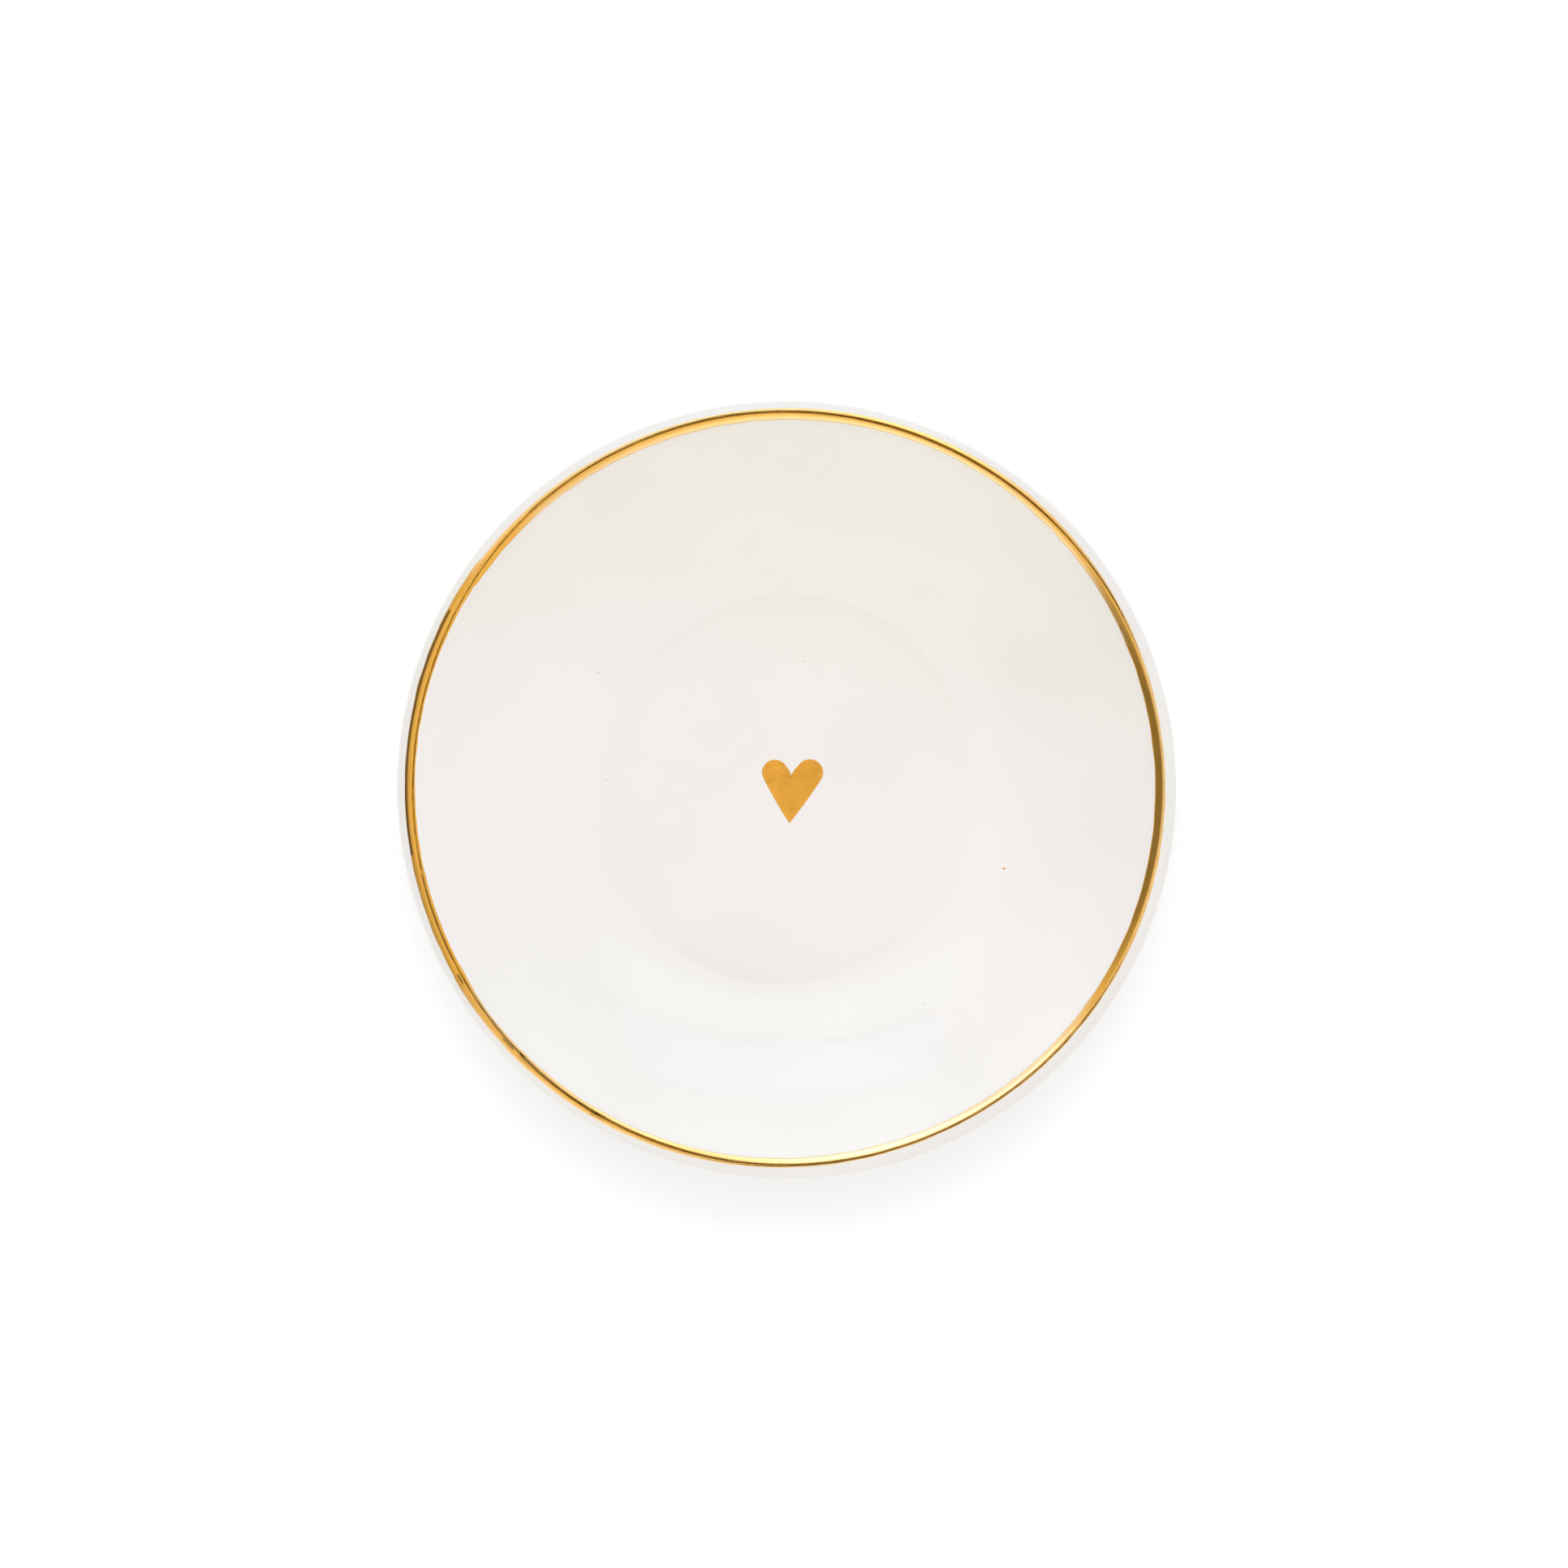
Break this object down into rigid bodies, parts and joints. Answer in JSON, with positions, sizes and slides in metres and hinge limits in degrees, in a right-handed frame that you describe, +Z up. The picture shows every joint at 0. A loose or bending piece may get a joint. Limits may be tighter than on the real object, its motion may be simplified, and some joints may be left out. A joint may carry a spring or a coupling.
{
  "type": "porcelain trinket dish",
  "caption": "Round open porcelain trinket dish on a foot ring, glazed white, with a fired gold line on its lip and a small gold heart in its shallow well.",
  "frame": {"origin": "centre of the foot ring's underside, where the dish stands", "axes": "+Z up along the dish's turning axis; +Y towards the heart's two lobes, away from its tip; +X to the heart's right"},
  "size_m": [0.11, 0.11, 0.0201],
  "materials": {
    "bare_porcelain": "matt unglazed fired clay",
    "white_glaze": "gloss, warm white",
    "fired_gold": "fired gold lustre, satin gloss, brushed by hand"
  },
  "bodies": {
    "root": {"porcelain_body": "bare_porcelain", "glaze_coat": "white_glaze", "glaze_in_recess": "white_glaze", "gold_rim_line": "fired_gold", "gold_heart": "fired_gold"}
  },
  "joints": []
}
